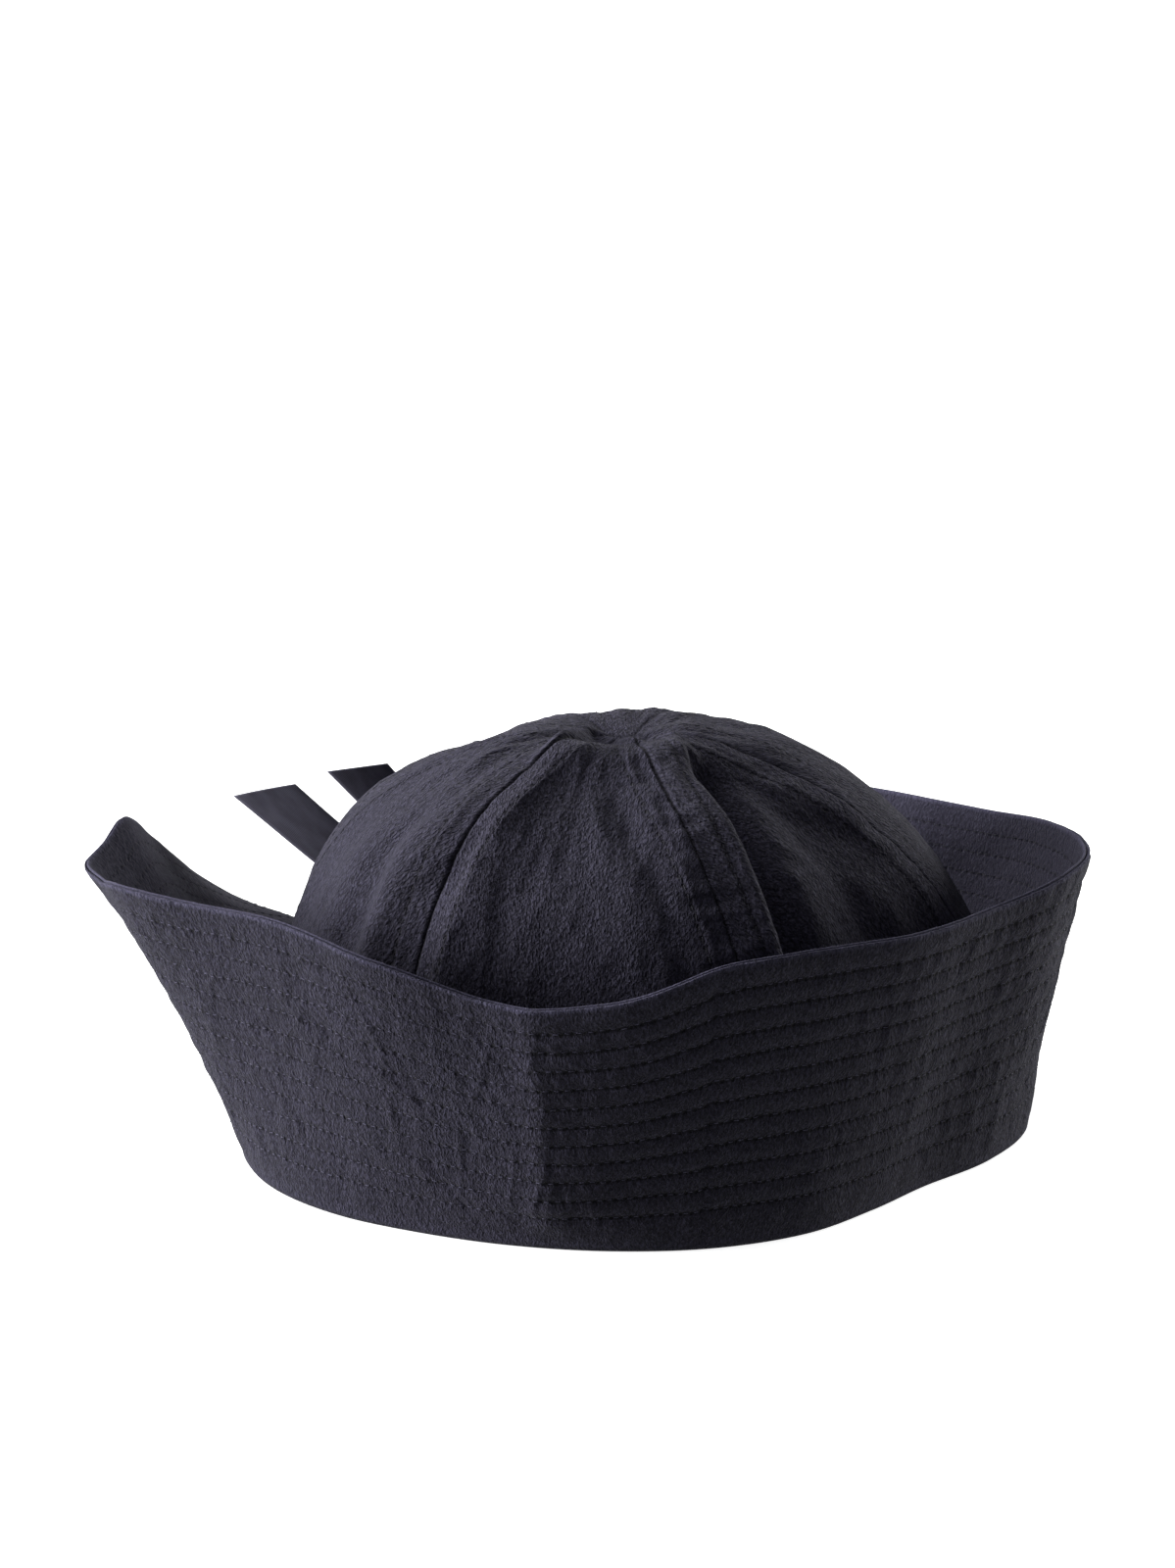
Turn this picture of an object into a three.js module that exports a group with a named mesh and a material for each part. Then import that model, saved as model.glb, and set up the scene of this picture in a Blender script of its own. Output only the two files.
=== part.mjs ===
// A soft cloth sailor cap: a crown of six gores, a turned-up brim of two cloth plies, and two ribbon tails.
// Millimetres and degrees. +Z is up, +Y the back, where the ribbon tails are, and +X the right-hand side for
// someone who faces the front. Plan angles run anticlockwise from +X, seen from above, about the middle of
// the head opening.
import * as THREE from "three";

// Driving dimensions
const PLY = 1.1; // one cloth ply of the brim
const CROWN_WALL = 1.2; // crown cloth with its seam allowances
const GAP = 0.3; // clearance between neighbouring pieces
const UNDERFOLD = 5; // how far the outer ply runs in under the crown
const FOOT_BEND = 1.5; // radius of the fold that the brim stands on
const FLARE = 1.16; // above 1, the brim curls outward towards its rim
const CROWN_HEIGHT = 104.2; // height of the smooth crown, before its apex is pinched in
const CROWN_INSET = 6.6; // crown's outer face, in from the brim's outer face
const SEAM_INSET = 3.2; // the same at the very foot, where the crown is sewn to the brim
const SEAM_HEIGHT = 10; // how high the crown's foot takes to come in from that seam
const CROWN_ROUNDNESS = { across: 2.02, up: 2.61 }; // exponents of the crown's side view, 2 is an ellipse
const CROWN_BOW = { x: -3.8, y: 0 }; // how far the crown's waist leans over
const APEX_SHIFT = { x: 4, y: -3 }; // where the gores meet, from the middle of the head opening
const GORE_ANGLE = 60;
const GORE_PUFF = 0.4; // how far a gore swells between its seams
const PUFF_FADE = { none: 0.1, full: 0.5 }; // shares of the crown's radius between which it grows
const APEX_PIT = { depth: 5, radius: 11 }; // where the six gores are pinched together
const TIP_RADIUS = 1; // where each gore's point ends, short of the apex
const RIBBON = { width: 12, thickness: 1 };

// How finely the cloth is faceted
const BRIM_SECTIONS = 90;
const BRIM_ROWS = 6;
const GORE_COLUMNS = 14;
const GORE_ROWS = 9;
const ROW_SPREAD = 1.5; // above 1, a gore's rows crowd towards its upright foot
const RIBBON_STEPS = 12;

// Brim sections: plan angle, radius of the foot, radius and height of the rim, and how far the cloth
// between them arches up off a straight line. The foot is a little oval. At the back left the brim
// flops outward, so its rim dips there, and it stands up again in a wing at the left.
const BRIM = [
  { at: 0, foot: 104.5, rim: 117.5, height: 74.5, roll: 0 },
  { at: 15, foot: 105, rim: 115, height: 72, roll: 0 },
  { at: 30, foot: 101, rim: 111.5, height: 68.5, roll: 0 },
  { at: 45, foot: 98, rim: 108.5, height: 67.5, roll: 0 },
  { at: 60, foot: 97, rim: 108.5, height: 67.5, roll: 0 },
  { at: 75, foot: 96, rim: 113.5, height: 70, roll: 0 },
  { at: 90, foot: 94.5, rim: 122, height: 67, roll: 0 },
  { at: 105, foot: 93, rim: 134, height: 52, roll: 4 },
  { at: 116, foot: 92, rim: 142, height: 30, roll: 10 },
  { at: 125, foot: 92.5, rim: 144, height: 16, roll: 14 },
  { at: 134, foot: 93.5, rim: 138, height: 28.5, roll: 11 },
  { at: 143, foot: 94.5, rim: 137.5, height: 42.5, roll: 6 },
  { at: 152, foot: 94.5, rim: 135.5, height: 57.5, roll: 0 },
  { at: 159, foot: 94, rim: 132, height: 67, roll: 0 },
  { at: 164, foot: 93.5, rim: 130, height: 70.5, roll: 0 },
  { at: 169, foot: 92.5, rim: 130, height: 68, roll: 0 },
  { at: 178, foot: 91.5, rim: 131, height: 66.5, roll: 0 },
  { at: 186, foot: 92, rim: 126, height: 67.5, roll: 0 },
  { at: 197, foot: 93.5, rim: 124.5, height: 73, roll: 0 },
  { at: 210, foot: 94.5, rim: 114, height: 74, roll: 0 },
  { at: 225, foot: 93.5, rim: 108.5, height: 75, roll: 0 },
  { at: 240, foot: 91.5, rim: 109.5, height: 71, roll: 0 },
  { at: 255, foot: 91.5, rim: 105.5, height: 63.5, roll: 0 },
  { at: 270, foot: 92.5, rim: 107.5, height: 64.5, roll: 0 },
  { at: 285, foot: 93.5, rim: 108, height: 72.5, roll: 0 },
  { at: 300, foot: 92.5, rim: 106.5, height: 73.5, roll: 0 },
  { at: 315, foot: 89, rim: 107.5, height: 73, roll: 0 },
  { at: 330, foot: 89, rim: 108.5, height: 73.5, roll: 0 },
  { at: 345, foot: 97, rim: 116.5, height: 76, roll: 0 },
];

// The one standing crease of the brim, at the front: its plan angle at the foot and at the rim, how far it
// stands out, how many degrees to either side it fades over, the share of the brim's width below which it is
// still growing, and how much of it the rim has lost.
const CREASE = { foot: 261.6, rim: 260.3, height: 2.8, fade: 9, grown: 0.22, slack: 0.4 };

// Gores, by the plan angle of the seam that each starts at.
const GORES = [
  { name: "crown_panel_back_right", from: -5.5 },
  { name: "crown_panel_back", from: 54.5 },
  { name: "crown_panel_back_left", from: 114.5 },
  { name: "crown_panel_front_left", from: 174.5 },
  { name: "crown_panel_front", from: 234.5 },
  { name: "crown_panel_front_right", from: 294.5 },
];

// Folds of the crown: plan angle low down and near the apex, height above the smooth crown (below
// it when negative), half width across, and the share of the crown's radius where it fades out above.
const FOLDS = [
  { low: 300, high: 318, height: 2.6, width: 7, inner: 0.24 }, // lip beside the front-right seam
  { low: 307.5, high: 326, height: -7, width: 6, inner: 0.4 }, // deep tuck behind that lip
  { low: 331, high: 346, height: -3, width: 9, inner: 0.4 },
  { low: 345, high: 343, height: -2, width: 7, inner: 0.62 },
  { low: 262, high: 266, height: -3, width: 22, inner: 0.35 }, // hollow of the front gore
  { low: 242, high: 246, height: 1.6, width: 6, inner: 0.2 },
  { low: 226, high: 228, height: 1.8, width: 7, inner: 0.35 },
  { low: 215, high: 214, height: -2.4, width: 8, inner: 0.4 },
  { low: 196, high: 190, height: -1.8, width: 10, inner: 0.5 },
  { low: 150, high: 146, height: -2.6, width: 10, inner: 0.35 },
  { low: 124, high: 128, height: -2, width: 8, inner: 0.5 },
  { low: 88, high: 84, height: -2.4, width: 12, inner: 0.4 },
  { low: 52, high: 53, height: 2, width: 13, inner: 0.25 }, // ridge along the back-right seam
  { low: 20, high: 25, height: 2.6, width: 16, inner: 0.4 },
];

const FOLD_FADE = { before: 0.12, after: 0.06 }; // a fold grows from that far below `inner` to that far above
const FOLD_RISE = { none: 4, full: 46 }; // heights between which a fold grows out of the sewn foot

// Ribbon tails: middle line from the foot of the crown to the tip, and the direction across the width.
const TAILS = [
  {
    name: "ribbon_tail_left",
    across: [0.68, 0.2, 0.7],
    line: [
      { x: -33.5, y: 81.3, z: 13.5 },
      { x: -44.5, y: 81.3, z: 24 },
      { x: -59, y: 82.5, z: 38.5 },
      { x: -76.5, y: 87.5, z: 52 },
      { x: -92, y: 94, z: 63.8 },
    ],
  },
  {
    name: "ribbon_tail_right",
    across: [0.7, 0.1, 0.7],
    line: [
      { x: -15, y: 89, z: 12.5 },
      { x: -24.5, y: 92, z: 22 },
      { x: -39, y: 96.5, z: 38 },
      { x: -55, y: 99, z: 55 },
      { x: -67.5, y: 100.5, z: 68.3 },
    ],
  },
];
const TAIL_SLANT = 5; // how much longer each tail's left edge is than its middle line, from the slanted cut

const cloth = new THREE.MeshStandardMaterial({ color: 0x2b2c39, roughness: 0.95, metalness: 0 });
const facingCloth = new THREE.MeshStandardMaterial({ color: 0x2f303e, roughness: 0.95, metalness: 0 });
const ribbonCloth = new THREE.MeshStandardMaterial({ color: 0x2e2e42, roughness: 0.7, metalness: 0 });

const radians = THREE.MathUtils.degToRad;
const smooth = THREE.MathUtils.smoothstep;

// A smooth closed curve through one column of the brim sections, read at any plan angle.
function brimAt(degrees, column) {
  const count = BRIM.length;
  const turned = THREE.MathUtils.euclideanModulo(degrees, 360);
  const row = BRIM.findLastIndex(({ at }) => at <= turned);
  const at = (k) => BRIM[(k + count) % count].at + 360 * Math.floor(k / count);
  const value = (k) => BRIM[(k + count) % count][column];
  const slope = (k) => {
    const [before, after] = [at(k) - at(k - 1), at(k + 1) - at(k)];
    const fall = (value(k) - value(k - 1)) / before;
    const rise = (value(k + 1) - value(k)) / after;
    return (fall * after + rise * before) / (before + after);
  };
  const span = at(row + 1) - at(row);
  const t = (turned - at(row)) / span;
  return (
    (1 + 2 * t) * (1 - t) ** 2 * value(row) +
    t * t * (3 - 2 * t) * value(row + 1) +
    span * t * (1 - t) ** 2 * slope(row) -
    span * t * t * (1 - t) * slope(row + 1)
  );
}

// The signed angle from middle to degrees, from -180 to 180.
function turnFrom(middle, degrees) {
  return THREE.MathUtils.euclideanModulo(degrees - middle + 180, 360) - 180;
}

function creaseHeight(degrees, t) {
  const aside = Math.abs(turnFrom(THREE.MathUtils.lerp(CREASE.foot, CREASE.rim, t), degrees));
  return CREASE.height * Math.exp(-aside / CREASE.fade) * smooth(t, 0, CREASE.grown) * (1 - CREASE.slack * t);
}

// The brim's outer face in one section, as radius and height: t runs from the foot to the rim.
function brimLine(degrees, t) {
  const foot = brimAt(degrees, "foot");
  const out = brimAt(degrees, "rim") - foot;
  const rise = brimAt(degrees, "height") - FOOT_BEND;
  const arch = (4 * brimAt(degrees, "roll") * t * (1 - t)) / Math.hypot(out, rise);
  const radius = foot + out * t ** FLARE - arch * rise + creaseHeight(degrees, t);
  return [radius, FOOT_BEND + rise * t + arch * out];
}

// The point that lies depth in from that face.
function brimSection(degrees, t, depth) {
  const step = 0.01;
  const [radius, height] = brimLine(degrees, t);
  const [radiusBelow, heightBelow] = brimLine(degrees, Math.max(t - step, 0));
  const [radiusAbove, heightAbove] = brimLine(degrees, Math.min(t + step, 1));
  const lean = Math.atan2(radiusAbove - radiusBelow, heightAbove - heightBelow);
  return [radius - depth * Math.cos(lean), height + depth * Math.sin(lean)];
}

// The steps up the brim, from the foot to the rim.
const brimSteps = Array.from({ length: BRIM_ROWS + 1 }, (_, k) => k / BRIM_ROWS);

// The outer ply: flat underfold on the ground, round fold at the foot, then up to the rim and back.
function outerPlySection(degrees) {
  const foot = brimAt(degrees, "foot");
  const bend = FOOT_BEND * (1 - Math.SQRT1_2);
  return [
    [foot - UNDERFOLD, 0],
    [foot - FOOT_BEND, 0],
    [foot - bend, bend],
    ...brimSteps.map((t) => brimSection(degrees, t, 0)),
    ...brimSteps.toReversed().map((t) => brimSection(degrees, t, PLY)),
    [foot - FOOT_BEND, PLY],
    [foot - UNDERFOLD, PLY],
  ];
}

// The facing: the second ply, inside the outer one, from the underfold to the rim.
function facingSection(degrees) {
  const near = PLY + GAP;
  return [
    ...brimSteps.map((t) => brimSection(degrees, t, near)),
    ...brimSteps.toReversed().map((t) => brimSection(degrees, t, near + PLY)),
  ];
}

function geometryOf(points, triangles) {
  const geometry = new THREE.BufferGeometry().setFromPoints(points);
  geometry.setIndex(triangles);
  geometry.computeVertexNormals();
  return geometry;
}

// A closed ring swept through sections around the head opening.
function ringGeometry(sectionAt) {
  const points = [];
  let width = 0;
  for (let i = 0; i < BRIM_SECTIONS; i++) {
    const degrees = (360 * i) / BRIM_SECTIONS;
    const section = sectionAt(degrees);
    width = section.length;
    for (const [radius, height] of section) {
      points.push(
        new THREE.Vector3(
          radius * Math.cos(radians(degrees)),
          radius * Math.sin(radians(degrees)),
          height,
        ),
      );
    }
  }
  const triangles = [];
  for (let i = 0; i < BRIM_SECTIONS; i++) {
    const next = ((i + 1) % BRIM_SECTIONS) * width;
    for (let k = 0; k < width; k++) {
      const up = (k + 1) % width;
      const [a, b, c, d] = [i * width + k, next + k, next + up, i * width + up];
      // Each face is split along the same diagonal whichever way its section runs, so two facing
      // faces keep their gap.
      if (points[d].z > points[a].z) triangles.push(a, b, c, a, c, d);
      else triangles.push(a, b, d, b, c, d);
    }
  }
  return geometryOf(points, triangles);
}

// The share of its foot radius that the crown still has: climb is 0 at the foot and 90 at the apex.
function crownShare(climb) {
  return Math.max(Math.cos(radians(climb)), 0) ** (2 / CROWN_ROUNDNESS.across);
}

// The crown's outer face without folds.
function plainCrown(degrees, climb) {
  const share = crownShare(climb);
  const radius = share * (brimAt(degrees, "foot") - CROWN_INSET);
  const waist = 4 * share * (1 - share);
  const top = (1 - share) ** 2;
  const foot = PLY + GAP;
  const rise = Math.max(Math.sin(radians(climb)), 0) ** (2 / CROWN_ROUNDNESS.up);
  return new THREE.Vector3(
    radius * Math.cos(radians(degrees)) + CROWN_BOW.x * waist + APEX_SHIFT.x * top,
    radius * Math.sin(radians(degrees)) + CROWN_BOW.y * waist + APEX_SHIFT.y * top,
    foot + (CROWN_HEIGHT - foot) * rise,
  );
}

// How far the cloth stands off the plain crown there.
function foldHeight(degrees, climb) {
  const share = crownShare(climb);
  const plain = plainCrown(degrees, climb);
  const radius = share * (brimAt(degrees, "foot") - CROWN_INSET);
  const acrossGore = (degrees - GORES[0].from) / GORE_ANGLE;
  const swell = Math.abs(Math.sin(Math.PI * acrossGore));
  let height = GORE_PUFF * swell * smooth(share, PUFF_FADE.none, PUFF_FADE.full);
  for (const fold of FOLDS) {
    const middle = THREE.MathUtils.lerp(fold.high, fold.low, share);
    const across = (radians(turnFrom(middle, degrees)) * radius) / fold.width;
    const along = smooth(share, fold.inner - FOLD_FADE.before, fold.inner + FOLD_FADE.after);
    const rise = smooth(plain.z, FOLD_RISE.none, FOLD_RISE.full);
    height += fold.height * Math.exp(-across * across) * along * rise;
  }
  height += (CROWN_INSET - SEAM_INSET) * (1 - smooth(plain.z, PLY + GAP, SEAM_HEIGHT));
  return height - APEX_PIT.depth * Math.exp(-((radius / APEX_PIT.radius) ** 2));
}

// Outward direction of the plain crown.
function crownNormal(degrees, climb) {
  const step = 0.5;
  const along = plainCrown(degrees + step, climb).sub(plainCrown(degrees - step, climb));
  const up = plainCrown(degrees, climb + step).sub(plainCrown(degrees, climb - step));
  return along.cross(up).normalize();
}

function crownPoint(degrees, climb, depth) {
  const offset = foldHeight(degrees, climb) - depth;
  return plainCrown(degrees, climb).addScaledVector(crownNormal(degrees, climb), offset);
}

// A closed sheet between an outer and an inner face, each a grid of columns by rows.
function sheetGeometry(columns, rows, pointAt) {
  const points = [];
  for (const side of [0, 1]) {
    for (let j = 0; j <= rows; j++) {
      for (let i = 0; i <= columns; i++) points.push(pointAt(i / columns, j / rows, side));
    }
  }
  const index = (i, j, side) => (side * (rows + 1) + j) * (columns + 1) + i;
  const triangles = [];
  const quad = (a, b, c, d) => triangles.push(a, b, c, a, c, d);
  for (let j = 0; j < rows; j++) {
    for (let i = 0; i < columns; i++) {
      quad(index(i, j, 0), index(i + 1, j, 0), index(i + 1, j + 1, 0), index(i, j + 1, 0));
      quad(index(i, j, 1), index(i, j + 1, 1), index(i + 1, j + 1, 1), index(i + 1, j, 1));
    }
    quad(index(0, j, 1), index(0, j, 0), index(0, j + 1, 0), index(0, j + 1, 1));
    quad(index(columns, j, 0), index(columns, j, 1), index(columns, j + 1, 1), index(columns, j + 1, 0));
  }
  for (let i = 0; i < columns; i++) {
    quad(index(i, 0, 1), index(i + 1, 0, 1), index(i + 1, 0, 0), index(i, 0, 0));
    quad(index(i, rows, 0), index(i + 1, rows, 0), index(i + 1, rows, 1), index(i, rows, 1));
  }
  return geometryOf(points, triangles);
}

// One gore, from seam to seam and from the foot to its point beside the apex.
function goreGeometry({ from }) {
  const tipShare = TIP_RADIUS / (brimAt(from, "foot") - CROWN_INSET);
  const highest = THREE.MathUtils.radToDeg(Math.acos(tipShare ** (CROWN_ROUNDNESS.across / 2)));
  return sheetGeometry(GORE_COLUMNS, GORE_ROWS, (u, v, side) => {
    const climb = highest * v ** ROW_SPREAD;
    const radius = crownShare(climb) * (brimAt(from, "foot") - CROWN_INSET);
    const seamGap = THREE.MathUtils.radToDeg(GAP / 2 / radius);
    const degrees = THREE.MathUtils.lerp(from + seamGap, from + GORE_ANGLE - seamGap, u);
    return crownPoint(degrees, climb, side * CROWN_WALL);
  });
}

// One ribbon tail: a flat strip along a smooth line, its tip cut on the slant.
function tailGeometry({ line, across }) {
  const curve = new THREE.CatmullRomCurve3(line.map(({ x, y, z }) => new THREE.Vector3(x, y, z)));
  const side = new THREE.Vector3(...across).normalize();
  return sheetGeometry(1, RIBBON_STEPS, (u, v, face) => {
    const forward = curve.getTangent(v);
    const normal = forward.clone().cross(side).normalize();
    const slant = v === 1 ? TAIL_SLANT * (1 - 2 * u) : 0;
    return curve
      .getPoint(v)
      .addScaledVector(side, RIBBON.width * (u - 0.5))
      .addScaledVector(forward, slant)
      .addScaledVector(normal, RIBBON.thickness * (face - 0.5));
  });
}

function named(name, geometry, material) {
  const mesh = new THREE.Mesh(geometry, material);
  mesh.name = name;
  return mesh;
}

const crown = new THREE.Group();
for (const gore of GORES) crown.add(named(gore.name, goreGeometry(gore), cloth));

const brim = new THREE.Group();
brim.add(named("brim_outer", ringGeometry(outerPlySection), cloth));
brim.add(named("brim_facing", ringGeometry(facingSection), facingCloth));

const ribbons = new THREE.Group();
for (const tail of TAILS) ribbons.add(named(tail.name, tailGeometry(tail), ribbonCloth));

// The cap stands on its brim's underfold, with the middle of its outline over the origin.
const cap = new THREE.Group();
cap.add(crown, brim, ribbons);
const outline = new THREE.Box3().setFromObject(cap);
const middle = outline.getCenter(new THREE.Vector3());
cap.position.set(-middle.x, -middle.y, -outline.min.z);

export default cap;
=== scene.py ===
"""A soft cotton sailor cap: a crown of six gores, a stitched turned-up brim of two plies, two ribbon tails.

Shapes are worked out in millimetres about the middle of the head opening, +X right, +Y back, +Z up.
make_mesh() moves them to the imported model's frame and turns them into metres. Plan angles are degrees
anticlockwise from +X, seen from above.
"""
import math

import bpy
import numpy as np
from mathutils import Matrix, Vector


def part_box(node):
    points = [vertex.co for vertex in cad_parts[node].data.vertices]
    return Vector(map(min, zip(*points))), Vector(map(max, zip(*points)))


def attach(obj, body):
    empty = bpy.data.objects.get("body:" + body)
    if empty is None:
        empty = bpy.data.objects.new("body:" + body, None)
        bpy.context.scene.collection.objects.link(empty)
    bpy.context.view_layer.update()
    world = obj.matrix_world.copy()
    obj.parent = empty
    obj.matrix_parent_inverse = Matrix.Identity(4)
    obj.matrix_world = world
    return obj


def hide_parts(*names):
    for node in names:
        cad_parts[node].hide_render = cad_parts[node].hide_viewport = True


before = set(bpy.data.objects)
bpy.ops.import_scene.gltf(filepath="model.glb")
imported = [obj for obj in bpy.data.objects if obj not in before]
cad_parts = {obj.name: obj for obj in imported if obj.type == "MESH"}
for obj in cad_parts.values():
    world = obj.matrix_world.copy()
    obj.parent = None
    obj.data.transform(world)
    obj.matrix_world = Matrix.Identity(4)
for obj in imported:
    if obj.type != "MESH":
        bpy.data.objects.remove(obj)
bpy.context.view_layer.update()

# --- sizes shared with the CAD model
PLY = 1.1  # one cloth ply of the brim at its foot
RIM_PLY = 0.62  # and pressed thin at its rim
CROWN_WALL = 1.2
GAP = 0.3  # clearance between neighbouring pieces
UNDERFOLD = 5.0  # how far the outer ply runs in under the crown
FOOT_BEND = 1.5  # radius of the fold that the brim stands on
FLARE = 1.16  # above 1, the brim curls outward towards its rim
CROWN_HEIGHT = 104.2
CROWN_INSET = 6.6  # crown's outer face, in from the brim's outer face
SEAM_INSET = 3.2  # the same where the crown is sewn to the brim
SEAM_HEIGHT = 10.0
CROWN_ACROSS, CROWN_UP = 2.02, 2.61  # exponents of the crown's side view, 2 is an ellipse
CROWN_BOW = (-3.8, 0.0)
APEX_SHIFT = (4.0, -3.0)
GORE_PUFF = 0.4
PIT_DEPTH, PIT_RADIUS = 5.0, 11.0
PUFF_FADE = (0.1, 0.5)  # shares of the crown's radius between which the gores' puff grows
FOLD_FADE = (-0.12, 0.06)  # the same for a fold, from the share that its row gives
FOLD_RISE = (4, 46)  # heights between which the folds grow from the foot up
RIBBON_WIDTH = 12.0
TAIL_SLANT = 5.0

# --- sizes of the finer cloth work
STITCH_ROWS = 11
FIRST_ROW = 0.092  # share of the brim's width from the rim to the first row of stitches
ROW_PITCH = 0.078  # and from one row to the next
ROW_MM = 5.8  # about the same in mm
BRIM_STITCHES = 255  # stitches in one row, all the way round
STITCH_MM = 2.6  # about the length of cloth that each takes
ROW_SHIFT = 0.37  # how far each row's stitches lie round from the row above, in stitches
SEAM_AT = 283.0  # plan angle of the brim's one upright seam
SEAM_STEP = 0.1  # how far the rows step at that seam, in rows
SEAM_MM = 1.88  # cloth in mm per degree beside it
TIGHT_AT = 300  # plan angle about which the rows are sewn tightest
RIGHT_END, LEFT_END = 352, 192  # plan angles of the cap's two ends
THREAD = 0.13  # radius of the sewing thread
STITCH_LENGTH = 1.25  # of a brim stitch's thread
CROWN_STITCH_LENGTH = 1.7
WELT = 6.4  # from a crown seam to the stitching on either side of it
CROWN_STITCH = 2.7  # from one stitch to the next there
FACING_RELIEF = 0.32  # how much flatter the facing is stitched than the outer ply
OUTER_SEED, FACING_SEED = 31, 51
BRIM_ROUND = 110.0  # radius at which the cloth's patterns are measured round the cap
CROWN_ROUND = 88.0  # the same for the crown's own waves
BRIM_COLUMNS = 840
RIM_POINTS, BACK_ROWS = 5, 7  # points round a ply's edge and up its hidden face
GORE_ROWS = 120
TIP_RADIUS = 0.2  # where each gore's point ends, short of the apex
RIBBON_THICKNESS = 0.5
GORE_OFFSET = 200.0  # in mm, from one gore's cloth pattern to the next

# Each gore's first seam as a plan angle, and how many columns its cloth has.
GORES = {
    "crown_panel_back_right": (-5.5, 80),
    "crown_panel_back": (54.5, 80),
    "crown_panel_back_left": (114.5, 80),
    "crown_panel_front_left": (174.5, 120),
    "crown_panel_front": (234.5, 120),
    "crown_panel_front_right": (294.5, 190),
}
GORE_WIDTH = 60.0
FIRST_SEAM = -5.5
LEFT_SEAM, RIGHT_SEAM = 234.5, 294.5  # the two seams at the front

# The one standing crease of the brim, at the front: plan angle at the foot and at the rim, how far it
# stands out, how many degrees it fades over, the share of the width it grows over, what the rim has lost.
CREASE = {"foot": 261.6, "rim": 260.3, "height": 2.8, "fade": 9, "grown": 0.22, "slack": 0.4}
CREASE_EDGE = {**CREASE, "height": 1.7, "fade": 8, "slack": 0.45}  # the cloth's sharper edge along it

# Short creases scattered over the outer ply: seed, how many, from and to which plan angle, depth in mm.
SCRATCHES = [(41, 52, 196, 268, 0.45), (42, 30, 286, 372, 0.34)]

# Brim sections: plan angle, radius of the foot, radius and height of the rim, arch of the cloth between.
BRIM_NAMES = ("at", "foot", "rim", "height", "roll")
BRIM_ROWS = [
    (0, 104.5, 117.5, 74.5, 0),
    (15, 105, 115, 72, 0),
    (30, 101, 111.5, 68.5, 0),
    (45, 98, 108.5, 67.5, 0),
    (60, 97, 108.5, 67.5, 0),
    (75, 96, 113.5, 70, 0),
    (90, 94.5, 122, 67, 0),
    (105, 93, 134, 52, 4),
    (116, 92, 142, 30, 10),
    (125, 92.5, 144, 16, 14),
    (134, 93.5, 138, 28.5, 11),
    (143, 94.5, 137.5, 42.5, 6),
    (152, 94.5, 135.5, 57.5, 0),
    (159, 94, 132, 67, 0),
    (164, 93.5, 130, 70.5, 0),
    (169, 92.5, 130, 68, 0),
    (178, 91.5, 131, 66.5, 0),
    (186, 92, 126, 67.5, 0),
    (197, 93.5, 124.5, 73, 0),
    (210, 94.5, 114, 74, 0),
    (225, 93.5, 108.5, 75, 0),
    (240, 91.5, 109.5, 71, 0),
    (255, 91.5, 105.5, 63.5, 0),
    (270, 92.5, 107.5, 64.5, 0),
    (285, 93.5, 108, 72.5, 0),
    (300, 92.5, 106.5, 73.5, 0),
    (315, 89, 107.5, 73, 0),
    (330, 89, 108.5, 73.5, 0),
    (345, 97, 116.5, 76, 0),
]
BRIM = dict(zip(BRIM_NAMES, np.array(BRIM_ROWS, float).T))

# Folds of the crown: plan angle low down and near the apex, height, half width, and the share of the
# crown's radius where the fold fades out above.
FOLDS = [
    (300, 318, 2.6, 7, 0.24),  # lip beside the front-right seam
    (307.5, 326, -7.0, 6, 0.40),  # deep tuck behind that lip
    (331, 346, -3.0, 9, 0.40),
    (345, 343, -2.0, 7, 0.62),
    (262, 266, -3.0, 22, 0.35),  # hollow of the front gore
    (242, 246, 1.6, 6, 0.20),
    (226, 228, 1.8, 7, 0.35),
    (215, 214, -2.4, 8, 0.40),
    (196, 190, -1.8, 10, 0.50),
    (150, 146, -2.6, 10, 0.35),
    (124, 128, -2.0, 8, 0.50),
    (88, 84, -2.4, 12, 0.40),
    (52, 53, 2.0, 13, 0.25),  # ridge along the back-right seam
    (20, 25, 2.6, 16, 0.40),
]

# Ribbon tails: the direction across the width, and the middle line from the crown's foot to the tip.
TAILS = {
    "ribbon_tail_left": (
        (0.68, 0.2, 0.7),
        [(-33.5, 81.3, 13.5), (-44.5, 81.3, 24), (-59, 82.5, 38.5), (-76.5, 87.5, 52), (-92, 94, 63.8)],
    ),
    "ribbon_tail_right": (
        (0.7, 0.1, 0.7),
        [(-15, 89, 12.5), (-24.5, 92, 22), (-39, 96.5, 38), (-55, 99, 55), (-67.5, 100.5, 68.3)],
    ),
}

# --- colours and light
# Each material's colours as 0-255 display values: its middle tone, pale and, for cloth, deep.
COLOURS = {
    "crown_cotton": ((44, 42, 54), (64, 62, 79), (29, 28, 36)),
    "brim_cotton": ((44, 42, 54), (64, 62, 80), (29, 28, 36)),
    "facing_cotton": ((46, 44, 57), (62, 60, 77), (36, 35, 45)),
    "navy_thread": ((60, 58, 73), (92, 90, 111)),
    # The same navy thread made darker as painted shade, for the facing's and the crown's stitches.
    "shaded_thread": ((28, 27, 35), (42, 41, 52)),
    "ribbon_weave": ((56, 53, 70), (76, 73, 92), (47, 45, 60)),
}
THREADS_APART = 0.55  # mm, in the cloth's weave
RIBS_APART, YARNS_APART = 0.45, 0.3  # mm, in the ribbon's
RIM_WEAR_AND_HIGHLIGHT, GROOVE_SHADE = 1.35, 0.3  # rim edges lightened, as wear and as a painted highlight, as a multiple of pale; painted shade in needle holes, row grooves and seams as a multiple of deep
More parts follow.
